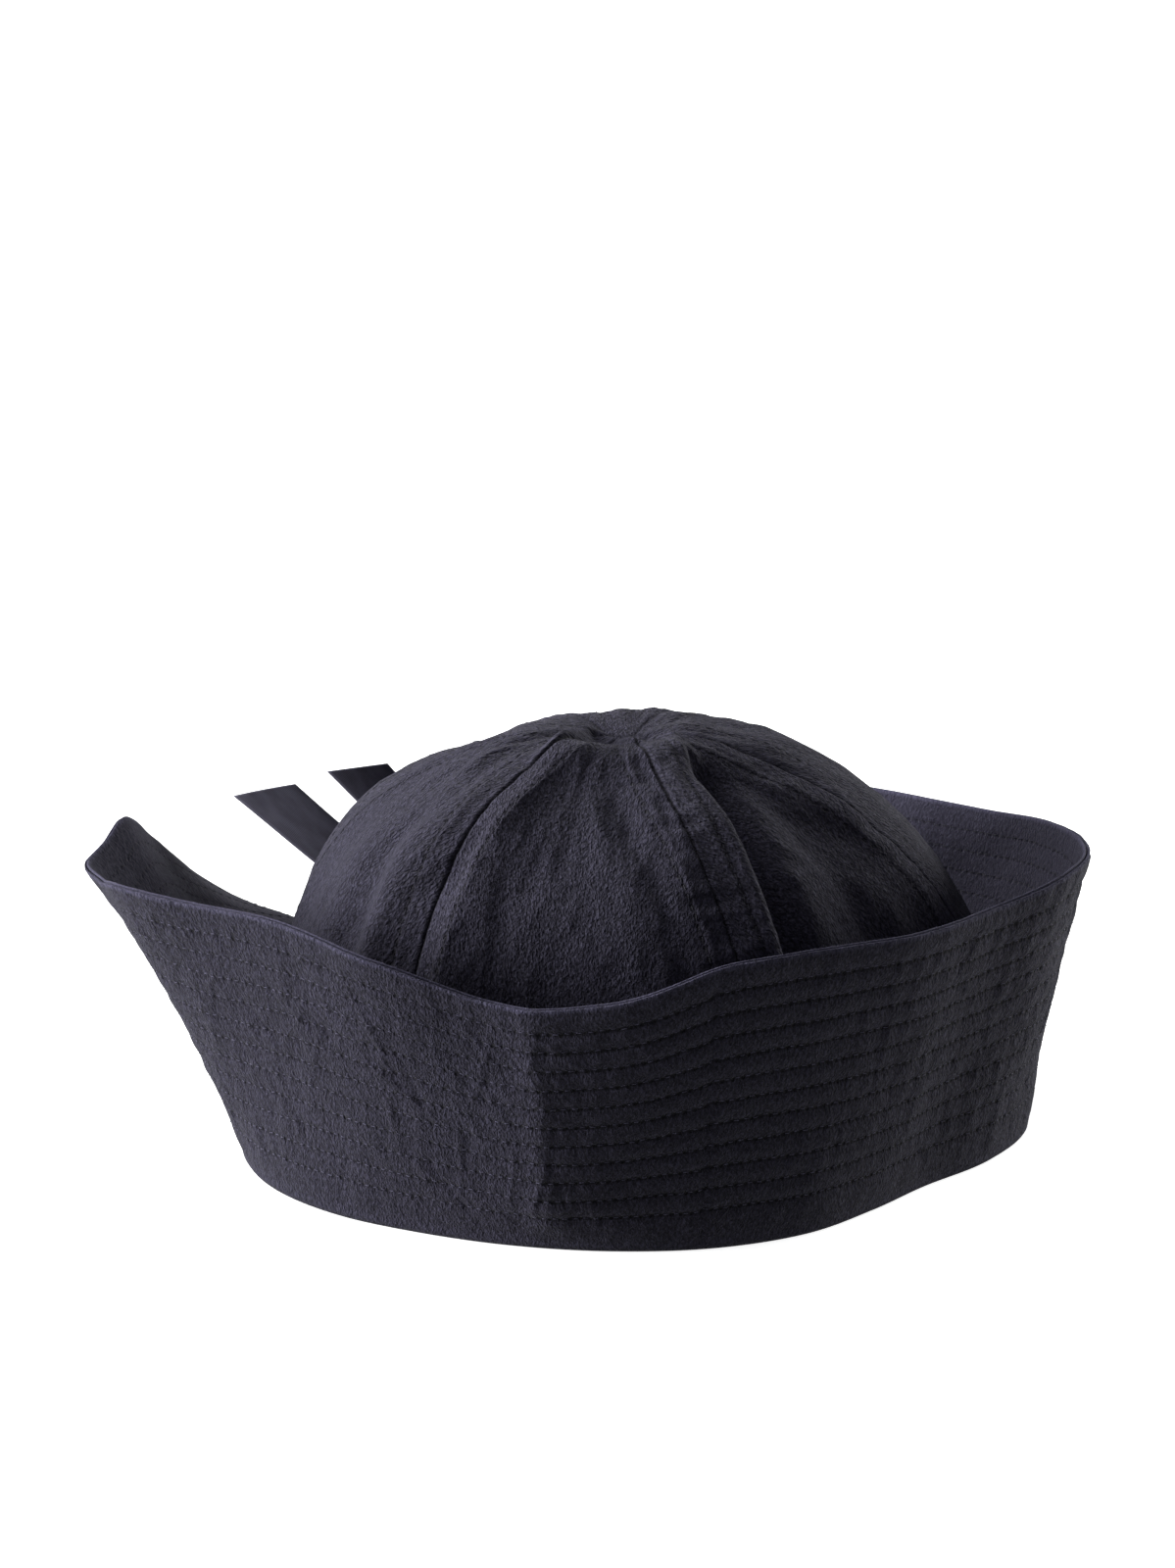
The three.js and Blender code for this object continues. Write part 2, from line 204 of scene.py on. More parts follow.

# The lights: name, plan angle, height above the horizon, strength, how wide it looks in degrees.
SUNS = [("key", 181, 9, 7.0, 22), ("high", 150, 42, 3.8, 38), ("side", 42, 4, 3.8, 30)]
SKY_COLOUR, SKY_STRENGTH = (0.93, 0.95, 1.0, 1), 0.18

CAMERA_PLACE = (-0.8, -1161.2, 380.2)  # mm, from the middle of the head opening
CAMERA_DOWN = 14.08  # degrees below the horizon
CAMERA_TURN = -0.24
CAMERA_LENS = 111.8


# --- numbers and noise
def smooth(value, low, high):
    """0 below low, 1 above high, and a smooth rise between them; a fall where high is the smaller."""
    t = np.clip((value - low) / (high - low), 0, 1)
    return t * t * (3 - 2 * t)


def bump(value, middle, half_width):
    """A smooth hump of height 1 at the middle."""
    return np.exp(-(((value - middle) / half_width) ** 2))


def turn(degrees, middle):
    """The signed angle from middle to degrees, from -180 to 180."""
    return (degrees - middle + 180) % 360 - 180


def angle_bump(degrees, middle, half_width):
    """A smooth hump about a plan angle."""
    return bump(turn(degrees, middle), 0, half_width)


def noise(across, along, cells, seed):
    """Smooth noise, about -1 to 1, in cells of one unit. `across` repeats after `cells` units."""
    lines = 256
    angle = np.random.default_rng(seed).uniform(0, 2 * np.pi, (lines, cells))
    i, j = np.floor(across).astype(int), np.floor(along).astype(int)
    x, y = across - i, along - j
    fade_x = x**3 * (x * (x * 6 - 15) + 10)
    fade_y = y**3 * (y * (y * 6 - 15) + 10)
    total = 0
    for di in (0, 1):
        for dj in (0, 1):
            a = angle[(j + dj) % lines, (i + di) % cells]
            share = (fade_x if di else 1 - fade_x) * (fade_y if dj else 1 - fade_y)
            total = total + share * ((x - di) * np.cos(a) + (y - dj) * np.sin(a))
    return total * 1.5


def creases(degrees, up, cells, tall, seed):
    """Noise in that many cells round the cap, tall mm high: 1 along sharp crests, about -1 between."""
    return 1 - 2.6 * np.abs(noise(degrees / 360 * cells, up / tall, cells, seed))


def ring_noise(degrees, along, cell, seed, round_it=BRIM_ROUND):
    """Noise on cloth that goes once round the cap. cell is its size round the cap and up it, in mm."""
    cells = max(3, round(2 * math.pi * round_it / cell[0]))
    return noise(degrees / 360 * cells, along / cell[1], cells, seed)


# --- the brim's shape
def brim_at(degrees, column):
    """A smooth closed curve through one column of the brim sections."""
    at, value = BRIM["at"], BRIM[column]
    count = len(at)
    turned = np.asarray(degrees, float) % 360
    k = np.searchsorted(at, turned, side="right") - 1
    place = np.concatenate([[at[-1] - 360], at, at[:2] + 360])
    level = np.concatenate([[value[-1]], value, value[:2]])
    before, after = np.diff(place)[:-1], np.diff(place)[1:]
    fall, rise = np.diff(level)[:-1] / before, np.diff(level)[1:] / after
    slope = (fall * after + rise * before) / (before + after)
    span = place[k + 2] - place[k + 1]
    t = (turned - place[k + 1]) / span
    start, end = slope[k], slope[(k + 1) % count]
    return (
        (1 + 2 * t) * (1 - t) ** 2 * level[k + 1]
        + t * t * (3 - 2 * t) * level[k + 2]
        + span * t * (1 - t) ** 2 * start
        - span * t * t * (1 - t) * end
    )


def crease_height(degrees, t, crease):
    """How far a standing crease lifts the brim, in mm."""
    middle = crease["foot"] + (crease["rim"] - crease["foot"]) * t
    fade = np.exp(-np.abs(turn(degrees, middle)) / crease["fade"])
    return crease["height"] * fade * smooth(t, 0, crease["grown"]) * (1 - crease["slack"] * t)


def brim_line(degrees, t):
    """Radius and height of the brim's outer face: t runs from the foot to the rim."""
    foot = brim_at(degrees, "foot")
    out = brim_at(degrees, "rim") - foot
    rise = brim_at(degrees, "height") - FOOT_BEND
    arch = 4 * brim_at(degrees, "roll") * t * (1 - t) / np.hypot(out, rise)
    radius = foot + out * np.maximum(t, 0) ** FLARE - arch * rise
    return radius + crease_height(degrees, t, CREASE), FOOT_BEND + rise * t + arch * out


def brim_point(degrees, t, depth=0.0):
    """The point that lies depth in from the brim's plain outer face."""
    step = 0.01
    radius, height = brim_line(degrees, t)
    radius_below, height_below = brim_line(degrees, np.maximum(t - step, 0))
    radius_above, height_above = brim_line(degrees, np.minimum(t + step, 1))
    lean = np.arctan2(radius_above - radius_below, height_above - height_below)
    radius, height = radius - depth * np.cos(lean), height + depth * np.sin(lean)
    angle = np.radians(degrees)
    return np.stack([radius * np.cos(angle), radius * np.sin(angle), height], -1)


def unit(vectors):
    return vectors / np.maximum(np.linalg.norm(vectors, axis=-1, keepdims=True), 1e-12)


def brim_normal(degrees, t):
    """Outward direction of the brim's plain face."""
    around = brim_point(degrees + 0.3, t) - brim_point(degrees - 0.3, t)
    up = brim_point(degrees, np.minimum(t + 0.01, 1)) - brim_point(degrees, np.maximum(t - 0.01, 0))
    return unit(np.cross(around, up))


def brim_width(degrees):
    return np.hypot(brim_at(degrees, "rim") - brim_at(degrees, "foot"), brim_at(degrees, "height"))


def row_place(degrees, t):
    """Which stitch row a place on the brim is at: 0 on the row nearest the rim, 10 on the lowest."""
    step = SEAM_STEP * (0.5 - ((degrees - SEAM_AT) % 360) / 360)
    waver = 0.05 * ring_noise(degrees, 0 * t, (60, 1), 11)
    return (1 - t - FIRST_ROW) / ROW_PITCH + step + waver


def stitch_place(degrees, row):
    """Counts stitches round a row: whole numbers are needle holes."""
    return degrees / 360 * BRIM_STITCHES + ROW_SHIFT * row


def end_share(degrees):
    """1 at the cap's two ends, where the brim's cloth is most crinkled, and 0 in front."""
    return angle_bump(degrees, RIGHT_END, 34) + angle_bump(degrees, LEFT_END, 30)


def row_pull(degrees):
    """How tight the rows are sewn: 1 on the right of the front, where they lie in grooves, less elsewhere."""
    beside = turn(degrees, TIGHT_AT)
    return 0.3 + 0.7 * smooth(beside, -44, -37) * smooth(beside, 62, 30)


def brim_sway(degrees, t):
    """Waves, hollows and the crease's edge, which both plies share, outward in mm."""
    up = t * brim_width(degrees)
    waves = 0.9 * ring_noise(degrees, up, (46, 60), 21) + 0.35 * ring_noise(degrees, up, (17, 22), 22)
    at_seam = -0.8 * angle_bump(degrees, SEAM_AT, 4.5) * smooth(t, 0.3, 0.9)
    right_of_it = -0.8 * angle_bump(degrees, 306, 10) * bump(t, 0.72, 0.3)
    soft = smooth(t, 0, CREASE["grown"]) * (waves + at_seam + right_of_it)
    return soft + crease_height(degrees, t, CREASE_EDGE)


def scratch_creases(degrees, up, seed, count, start, end, deep):
    """Short sharp creases scattered over part of the brim, mostly slanting, outward in mm."""
    random = np.random.default_rng(seed)
    total = np.zeros(np.broadcast(degrees, up).shape)
    for _ in range(count):
        middle = random.uniform(start, end)
        height = random.uniform(6, 66)
        slant = random.uniform(-1.1, 0.5)
        half, wide = random.uniform(3, 11), random.uniform(0.45, 0.8)
        depth = deep * random.uniform(0.5, 1.0) * random.choice([-1, 1])
        x = np.radians(turn(degrees, middle)) * BRIM_ROUND
        y = up - height
        along = x * math.sin(slant) + y * math.cos(slant)
        across = x * math.cos(slant) - y * math.sin(slant) + 0.02 * along**2 / half
        total += depth * np.exp(-((across / wide) ** 2) - (along / half) ** 4)
    return total


def ply_relief(degrees, t, seed, strength=1.0):
    """Quilting, stitch grooves, puckers and crinkles of one ply's own face, outward from it in mm."""
    width = brim_width(degrees)
    up = t * width
    row = row_place(degrees, t)
    nearest = np.clip(np.round(row), 0, STITCH_ROWS - 1)
    from_row = np.abs(row - nearest) * ROW_PITCH * width
    inside = (row > -0.5) & (row < STITCH_ROWS - 0.5)
    pull = row_pull(degrees)
    quilt = 0.42 * pull * np.where(inside, np.sin(np.pi * row) ** 2, 1.0) * smooth(t, 1.0, 0.96)
    groove = -0.28 * pull * np.exp(-((from_row / 0.5) ** 2))
    ends = end_share(degrees)
    held = 0.35 + 0.65 * np.exp(-((from_row / 2.0) ** 2))
    pucker = (0.15 + 0.06 * ends) * held * ring_noise(degrees, up, (3.0, 5.5), seed)
    ripple = (0.10 + 0.20 * ends) * ring_noise(degrees + 0.4 * np.sin(up / 9), up, (4.6, 17), seed + 1)
    crinkle = 0.16 * creases(degrees, up, 86, 11, seed + 2)
    seam = np.abs(turn(degrees, SEAM_AT)) * SEAM_MM
    joined = (-0.5 * bump(seam, 0, 0.8) + 0.2 * bump(seam, 3.2, 2.2)) * smooth(t, 1.0, 0.93)
    relief = quilt + groove + pucker + ripple + crinkle + joined
    return strength * smooth(t, 0.0, 0.06) * relief


# --- meshes
def make_mesh(name, points, faces, material, maps=None, values=None):
    """One object from points in mm, faces of three or four corners, UV maps by corner, values by point."""
    mesh = bpy.data.meshes.new(name)
    faces = np.asarray(faces, np.int32)
    corners = faces.shape[1]
    mesh.vertices.add(len(points))
    mesh.vertices.foreach_set("co", ((points + SHIFT) * 0.001).astype(np.float32).ravel())
    mesh.loops.add(faces.size)
    mesh.loops.foreach_set("vertex_index", faces.ravel())
    mesh.polygons.add(len(faces))
    mesh.polygons.foreach_set("loop_start", np.arange(0, faces.size, corners, dtype=np.int32))
    mesh.update(calc_edges=True)
    mesh.validate()
    mesh.shade_smooth()
    for key, uv in (maps or {}).items():
        layer = mesh.uv_layers.new(name=key)
        layer.uv.foreach_set("vector", np.asarray(uv, np.float32).ravel())
    for key, value in (values or {}).items():
        attribute = mesh.attributes.new(key, "FLOAT", "POINT")
        attribute.data.foreach_set("value", np.asarray(value, np.float32).ravel())
    made = bpy.data.objects.new(name, mesh)
    bpy.context.scene.collection.objects.link(made)
    mesh.materials.append(material)
    return made


def ring_faces(columns, rows):
    """Quads of a closed ring whose closed section has that many rows, facing out of a section that
    runs up the outer side, with the column and row of each corner, not wrapped."""
    i, j = np.meshgrid(np.arange(columns), np.arange(rows), indexing="ij")
    i, j = i.ravel(), j.ravel()
    column = np.stack([i, i + 1, i + 1, i], -1)
    row = np.stack([j, j, j + 1, j + 1], -1)
    return (column % columns) * rows + row % rows, column, row


def ring_object(name, points, cloth, stitched, values, material):
    """A closed ring of cloth. points is (columns, rows, 3); the maps have one column and row more."""
    columns, rows = points.shape[:2]
    faces, column, row = ring_faces(columns, rows)
    maps = {"cloth": cloth[column, row], "rows": stitched[column, row]}
    return make_mesh(name, points.reshape(-1, 3), faces, material, maps, values)


def sheet_faces(columns, rows):
    """Quads of a closed sheet: an outer grid of points, then an inner grid, joined round the edge."""
    def index(i, j, side):
        return (side * (rows + 1) + j) * (columns + 1) + i

    i, j = (a.ravel() for a in np.meshgrid(np.arange(columns), np.arange(rows), indexing="ij"))
    quads = [
        (index(i, j, 0), index(i + 1, j, 0), index(i + 1, j + 1, 0), index(i, j + 1, 0)),
        (index(i, j, 1), index(i, j + 1, 1), index(i + 1, j + 1, 1), index(i + 1, j, 1)),
    ]
    j = np.arange(rows)
    for k, (a, b) in ((0, (1, 0)), (columns, (0, 1))):
        quads.append((index(k, j, a), index(k, j, b), index(k, j + 1, b), index(k, j + 1, a)))
    i = np.arange(columns)
    for k, (a, b) in ((0, (1, 0)), (rows, (0, 1))):
        quads.append((index(i, k, a), index(i + 1, k, a), index(i + 1, k, b), index(i, k, b)))
    return np.concatenate([np.stack(q, -1) for q in quads])


def sheet_object(name, outer, inner, cloth, stitched, values, material):
    """A closed sheet of cloth between two grids of points, each (rows + 1, columns + 1, 3)."""
    rows, columns = outer.shape[0] - 1, outer.shape[1] - 1
    faces = sheet_faces(columns, rows)
    points = np.concatenate([outer.reshape(-1, 3), inner.reshape(-1, 3)])
    maps = {}
    for key, grid in (("cloth", cloth), ("rows", stitched)):
        maps[key] = np.tile(grid.reshape(-1, 2), (2, 1))[faces]
    both = {key: np.tile(value.ravel(), 2) for key, value in values.items()}
    return make_mesh(name, points, faces, material, maps, both)


def stitch_template(length, radius, lift):
    """One stitch: a thread that rises out of its hole, lies on the cloth and goes down again."""
    sides, places = 4, (-0.42, -0.2, 0.2, 0.42)
    points = [(-0.5 * length, -0.5 * lift, 0)]
    for place in places:
        middle = lift * (1 - (2 * place) ** 2)
        for k in range(sides):
            a = 2 * math.pi * k / sides
            points.append((place * length, middle + 0.8 * radius * math.cos(a), radius * math.sin(a)))
    points.append((0.5 * length, -0.5 * lift, 0))
    last = len(points) - 1
    faces = []
    for k in range(sides):
        n = (k + 1) % sides
        faces.append((0, 1 + n, 1 + k))
        faces.append((last, last - sides + k, last - sides + n))
        for ring in range(len(places) - 1):
            a, b = 1 + ring * sides, 1 + (ring + 1) * sides
            faces += [(a + k, a + n, b + n), (a + k, b + n, b + k)]
    return np.array(points), np.array(faces)


def stitches(name, centres, along, out, length, material, seed, lift):
    """All the stitches of one sewing line as one object. Each lies a little askew."""
    random = np.random.default_rng(seed)
    template, faces = stitch_template(length, THREAD, lift)
    out = unit(out)
    side = unit(np.cross(along, out))
    askew = random.normal(0, 0.07, (len(centres), 1))
    along = unit(unit(along) + askew * side)
    side = unit(np.cross(along, out))
    stretch = random.uniform(0.86, 1.06, (len(centres), 1, 1))
    points = (
        centres[:, None]
        + along[:, None] * template[None, :, :1] * stretch
        + out[:, None] * template[None, :, 1:2]
        + side[:, None] * template[None, :, 2:]
    )
    every = (faces[None] + len(template) * np.arange(len(centres))[:, None, None]).reshape(-1, 3)
    return make_mesh(name, points.reshape(-1, 3), every, material)


# --- materials
class Nodes:
    """A material's node tree, built by short calls. An input is a number, a colour or a socket."""

    def __init__(self, name):
        self.material = bpy.data.materials.new(name)
        self.material.use_nodes = True
        self.tree = self.material.node_tree
        self.tree.nodes.clear()

    def add(self, kind, inputs=None, **settings):
        made = self.tree.nodes.new("ShaderNode" + kind)
        for key, value in settings.items():
            setattr(made, key, value)
        for key, value in (inputs or {}).items():
            if isinstance(value, bpy.types.NodeSocket):
                self.tree.links.new(value, made.inputs[key])
            else:
                made.inputs[key].default_value = value
        return made

    def math(self, operation, a, b=0.0):
        return self.add("Math", {0: a, 1: b}, operation=operation).outputs[0]

    def times(self, a, b):
        return self.math("MULTIPLY", a, b)

    def map(self, name):
        """The place on the cloth that a UV map gives, and its two coordinates."""
        place = self.add("UVMap", uv_map=name).outputs["UV"]
        part = self.add("SeparateXYZ", {"Vector": place})
        return place, part.outputs["X"], part.outputs["Y"]

    def value(self, name):
        """A value that the mesh carries at its points."""
        return self.add("Attribute", attribute_name=name).outputs["Fac"]

    def scaled(self, place, scale, lean=0.0):
        """A place whose coordinates are multiplied by scale, then turned by lean."""
        ports = {"Vector": place, "Rotation": (0, 0, lean), "Scale": scale}
        return self.add("Mapping", ports).outputs[0]

    def ramp(self, value, low, high, start=0.0, end=1.0):
        """value mapped from low..high to start..end, smoothly and clamped."""
        ports = {"Value": value, "From Min": low, "From Max": high, "To Min": start, "To Max": end}
        return self.add("MapRange", ports, interpolation_type="SMOOTHSTEP").outputs["Result"]

    def mix(self, share, a, b):
        return self.add("Mix", {0: share, 6: a, 7: b}, data_type="RGBA").outputs[2]

    def noise(self, place, scale, detail=2.0, rough=0.5, distortion=0.0):
        ports = {"Vector": place, "Scale": scale, "Detail": detail, "Roughness": rough,
                 "Distortion": distortion}
        return self.add("TexNoise", ports).outputs["Fac"]

    def bump(self, height, distance, strength=1.0, normal=None):
        ports = {"Height": height, "Distance": distance, "Strength": strength}
        if normal is not None:
            ports["Normal"] = normal
        return self.add("Bump", ports).outputs["Normal"]

    def surface(self, **inputs):
        shader = self.add("BsdfPrincipled", {k.replace("_", " "): v for k, v in inputs.items()})
        self.add("OutputMaterial", {"Surface": shader.outputs[0]})
        return self.material


def linear_colours(name):
    """A material's colours as linear ones."""
    def linear(c):
        c = c / 255
        return c / 12.92 if c <= 0.04045 else ((c + 0.055) / 1.055) ** 2.4

    return [(*map(linear, shown), 1.0) for shown in COLOURS[name]]


def shaded(tint, share):
    return (*(c * share for c in tint[:3]), 1.0)


def row_hollows(n):
    """Needle holes and the pressed line of each row, as masks for the painted shade in them and for the
    holes' bump. The map "rows" counts holes and rows.
    """
    _, hole_count, row = n.map("rows")
    along = n.times(n.math("PINGPONG", hole_count, 0.5), STITCH_MM)
    aside = n.times(n.math("PINGPONG", row, 0.5), ROW_MM)
    within = n.times(n.math("GREATER_THAN", row, -0.5), n.math("LESS_THAN", row, STITCH_ROWS - 0.5))
    far = n.math("SQRT", n.math("ADD", n.times(along, along), n.times(aside, aside)))
    hole = n.times(n.ramp(far, 0.28, 0.62, 1.0, 0.0), within)
    line = n.times(n.ramp(aside, 0.15, 0.85, 1.0, 0.0), within)
    return hole, line


def cloth_material(name, grain=1.0, pressed=1.0):
    """Crinkled plain-weave cotton, with the map "cloth" in mm. grain is how strong its crepe is, in bump and
    in painted light and shade; pressed is how dark the painted shade in its stitch rows' grooves and holes
    is."""
    n = Nodes(name)
    base, pale, deep = linear_colours(name)
    cloth, across, up = n.map("cloth")
    hole, line = row_hollows(n)
    pull, ends = n.value("pull"), n.value("crinkle")

    # Crepe and wrinkles lean a little; speck and mottle are uneven dye; slubs are thicker threads.
    leaning = n.scaled(cloth, (1.0, 0.5, 1.0), 0.6)
    crepe = n.noise(leaning, 1.5, 2.0, 0.55, 0.6)
    wrinkle = n.noise(leaning, 0.4, 1.5, 0.5, 1.2)
    speck = n.noise(cloth, 2.3, 1.0, 0.6)
    mottle = n.noise(cloth, 0.045, 3.0, 0.55)
    slub = n.noise(n.scaled(cloth, (2.6, 0.16, 1.0)), 1.0, 1.0)

    # Each layer: its pattern, the values where it starts and is full, its strength, its tint. The two crepe
    # layers paint light on the crepe's crests and shade in its hollows, from the same noise as its bump.
    shade = base
    for pattern, start, full, most, tint in (
        (mottle, 0.3, 0.7, 0.35, deep),
        (crepe, 0.5, 0.64, 0.6 * grain, pale),
        (crepe, 0.5, 0.36, 0.8 * grain, deep),
        (speck, 0.54, 0.7, 0.4, pale),
        (speck, 0.46, 0.3, 0.4, deep),
        (slub, 0.64, 0.8, 0.2, pale),
    ):
        shade = n.mix(n.ramp(pattern, start, full, 0.0, most), shade, tint)
    # Edges made lighter, partly as wear, partly as a painted highlight along the rim.
    wear_and_highlight_share = n.times(n.value("worn"), n.ramp(crepe, 0.38, 0.62, 0.4, 1.0))
    shade = n.mix(wear_and_highlight_share, shade, shaded(pale, RIM_WEAR_AND_HIGHLIGHT))
    # Painted shade: the rows' grooves and needle holes, darker where pull is higher, and the crown's seams.
    holes = n.times(hole, n.math("ADD", pull, 0.2))
    groove_shades = (n.times(line, pull), 0.6 * pressed), (holes, 0.75 * pressed), (n.value("seam"), 0.75)
    for shade_mask, most in groove_shades:
        shade = n.mix(n.times(shade_mask, most), shade, shaded(deep, GROOVE_SHADE))

    thread = math.pi / THREADS_APART
    weave = n.times(n.math("SINE", n.times(across, thread)), n.math("SINE", n.times(up, thread)))
    crepe_depth = n.math("ADD", n.times(ends, 0.15), 0.85 * grain)
    wrinkle_depth = n.math("ADD", n.times(ends, 0.4), 0.25 * grain)
    normal = n.bump(weave, 0.00006, 0.6 * grain)
    normal = n.bump(crepe, 0.0013, crepe_depth, normal)
    normal = n.bump(wrinkle, 0.0009, wrinkle_depth, normal)
    normal = n.bump(n.math("SUBTRACT", 1.0, hole), 0.0004, 0.8, normal)
    rough = n.ramp(crepe, 0.3, 0.7, 0.98, 0.84)
    return n.surface(Base_Color=shade, Roughness=rough, Normal=normal, Specular_IOR_Level=0.1,
                     Sheen_Weight=0.05, Sheen_Roughness=0.4)


def thread_material(name):
    """Spun polyester thread: two twisted strands with a slight gloss."""
    n = Nodes(name)
    base, pale = linear_colours(name)
    place = n.add("TexCoord").outputs["Object"]
    strand = n.noise(place, 2600.0, 1.0, 0.5)
    fade = n.noise(place, 60.0, 2.0, 0.5)
    shade = n.mix(n.ramp(strand, 0.35, 0.65), base, pale)
    shade = n.mix(n.ramp(fade, 0.4, 0.7, 0.0, 0.4), shade, base)
    rough = n.ramp(strand, 0.3, 0.7, 0.6, 0.8)
    normal = n.bump(strand, 0.00008, 0.6)
    return n.surface(Base_Color=shade, Roughness=rough, Normal=normal, Specular_IOR_Level=0.15)


def ribbon_material(name):
    """Smooth ribbon: fine cross ribs, a firmer edge, a soft sheen along its length."""
    n = Nodes(name)
    base, pale, deep = linear_colours(name)
    cloth, across, along = n.map("cloth")
    rib = n.math("SINE", n.times(along, 2 * math.pi / RIBS_APART))
    yarn = n.math("SINE", n.times(across, 2 * math.pi / YARNS_APART))
    uneven = n.noise(n.scaled(cloth, (0.5, 0.1, 1.0)), 1.0, 3.0)
    edge = n.ramp(n.math("ABSOLUTE", across), RIBBON_WIDTH / 2 - 0.9, RIBBON_WIDTH / 2 - 0.3)
    shade = n.mix(n.ramp(uneven, 0.35, 0.65), base, deep)
    shade = n.mix(n.ramp(rib, 0.2, 1.0, 0.0, 0.35), shade, pale)
    shade = n.mix(n.times(edge, 0.35), shade, pale)
    rough = n.ramp(uneven, 0.3, 0.7, 0.68, 0.82)
    normal = n.bump(rib, 0.00006, 0.5)
    normal = n.bump(yarn, 0.00003, 0.5, normal)
    return n.surface(Base_Color=shade, Roughness=rough, Normal=normal, Specular_IOR_Level=0.35,
                     Sheen_Weight=0.25, Sheen_Roughness=0.35)


def floor_material():
    n = Nodes("studio_floor")
    place = n.add("TexCoord").outputs["Object"]
    shade = n.mix(n.ramp(n.noise(place, 1.5, 2.0), 0.3, 0.7), (0.80, 0.80, 0.80, 1), (0.84, 0.84, 0.84, 1))
    return n.surface(Base_Color=shade, Roughness=0.9, Emission_Color=(1, 1, 1, 1), Emission_Strength=0.9)


# --- the brim
def brim_steps():
    """Heights up the brim, close together beside each stitch row."""
    beside = (-0.5, -0.32, -0.17, -0.07, 0.0, 0.07, 0.17, 0.32)
    places = [row + b for row in range(STITCH_ROWS) for b in beside] + [STITCH_ROWS - 0.5]
    steps = 1 - FIRST_ROW - ROW_PITCH * np.array(places)
    above = np.linspace(1, steps[0], 5)[:-1]
    below = np.linspace(steps[-1], 0, 5)[1:]
    return np.concatenate([above, steps, below])[::-1]


def edge_arc(count, start=0.0, end=math.pi):
    return np.linspace(start, end, count + 2)[1:-1]


def ply_at(t):
    """Thickness of a ply: pressed thinner towards the rim."""
    return PLY + (RIM_PLY - PLY) * smooth(t, 0.1, 0.95)


def rim_top(degrees):
    """Where the brim's rounded rim starts: half a ply short of its full width."""
    return 1 - RIM_PLY / 2 / brim_width(degrees)


# How far the rim's edge is lightened, as wear and as a painted highlight.
def rim_wear_and_highlight(t):
    return smooth(t, 0.993, 1.0)


def brim_cloth(degrees, t, depth=0.0, relief=0.0):
    """A point of the brim's cloth, depth in from the plain outer face, with sway and relief outward."""
    offset = brim_sway(degrees, t) + relief
    return brim_point(degrees, t, depth) + brim_normal(degrees, t) * offset[..., None]


def outer_ply_surface(degrees, t):
    """The brim's outer face with all its relief."""
    relief = ply_relief(degrees, t, OUTER_SEED)
    for scratches in SCRATCHES:
        relief = relief + scratch_creases(degrees, t * brim_width(degrees), *scratches)
    return brim_cloth(degrees, t, 0.0, relief)


def facing_surface(degrees, t):
    """The brim's inner face with all its relief, which is towards the crown."""
    inward = ply_relief(degrees, t, FACING_SEED, FACING_RELIEF) * smooth(t, 0.03, 0.2)
    return brim_cloth(degrees, t, 2 * ply_at(t) + GAP, -inward)


def rounded_rim(degrees, near, outer_relief, inner_relief):
    """A ply's rounded edge, which starts near mm in. The relief of each face fades out round it."""
    arc = edge_arc(RIM_POINTS)[None]
    top = rim_top(degrees)
    t = top + np.sin(arc) * (RIM_PLY / 2 / brim_width(degrees))
    depth = near + RIM_PLY / 2 * (1 - np.cos(arc))
    relief = outer_relief * (1 + np.cos(arc)) / 2 - inner_relief * (1 - np.cos(arc)) / 2
    offset = brim_sway(degrees, top) + relief
    return brim_point(degrees, t, depth) + brim_normal(degrees, np.minimum(t, 1)) * offset[..., None]


def underfold(degrees):
    """The outer ply below its back: in under the crown, round the cut edge, out again, up the bend."""
    bend = edge_arc(3, 0, math.pi / 2)
    inward = np.array([FOOT_BEND, UNDERFOLD, UNDERFOLD + PLY / 2, UNDERFOLD, FOOT_BEND])
    up = np.array([PLY, PLY, PLY / 2, 0, 0])
    inward = np.concatenate([inward, FOOT_BEND * (1 - np.sin(bend))])
    up = np.concatenate([up, FOOT_BEND * (1 - np.cos(bend))])
    angle = np.radians(degrees)
    radius = brim_at(degrees, "foot") - inward
    return np.stack([radius * np.cos(angle), radius * np.sin(angle), up + 0 * radius], -1)


def brim_columns(count=BRIM_COLUMNS):
    """Plan angles of the brim's columns, one below the other."""
    return (np.arange(count) * 360 / BRIM_COLUMNS)[:, None]


def brim_ply(name, points, t, values, material):
    """A closed ring of brim cloth. t is where each of its rows lies, with the first again at the end."""
    degrees = brim_columns(BRIM_COLUMNS + 1)
    row = row_place(degrees, t[None])
    across = np.radians(degrees) * BRIM_ROUND + 0 * t
    cloth = np.stack([across, t * brim_width(degrees)], -1)
    rows = np.stack([stitch_place(degrees, row), row], -1)
    full = {key: np.broadcast_to(value, points.shape[:2]) for key, value in values.items()}
    return ring_object(name, points, cloth, rows, full, material)


def make_brim_outer(material):
    """The outer ply: its face, its rounded rim, its plain back and the fold under the crown."""
    degrees, steps = brim_columns(), brim_steps()
    top = rim_top(degrees)
    face = outer_ply_surface(degrees, steps * top)
    rim = rounded_rim(degrees, 0.0, ply_relief(degrees, top, OUTER_SEED), 0.0)
    down = np.linspace(1, 0, BACK_ROWS)
    back = brim_cloth(degrees, down * top, ply_at(down * top))
    under = underfold(degrees)
    points = np.concatenate([face, rim, back, under], 1)
    under_t = np.linspace(-0.14, -0.02, under.shape[1])
    t = np.concatenate([steps, 1 + 0.01 * np.arange(RIM_POINTS), down, under_t, [0.0]])
    # Lighter at the rim, as wear and as a painted highlight, and a little along the foot's fold.
    worn = rim_wear_and_highlight(t[:-1]) + 0.25 * bump(t[:-1], 0.0, 0.02)
    # pull also sets how dark the rows' grooves and holes are painted as shade.
    values = {"worn": worn, "crinkle": end_share(degrees), "pull": row_pull(degrees)}
    return brim_ply("brim_outer_cloth", points, t, values, material)


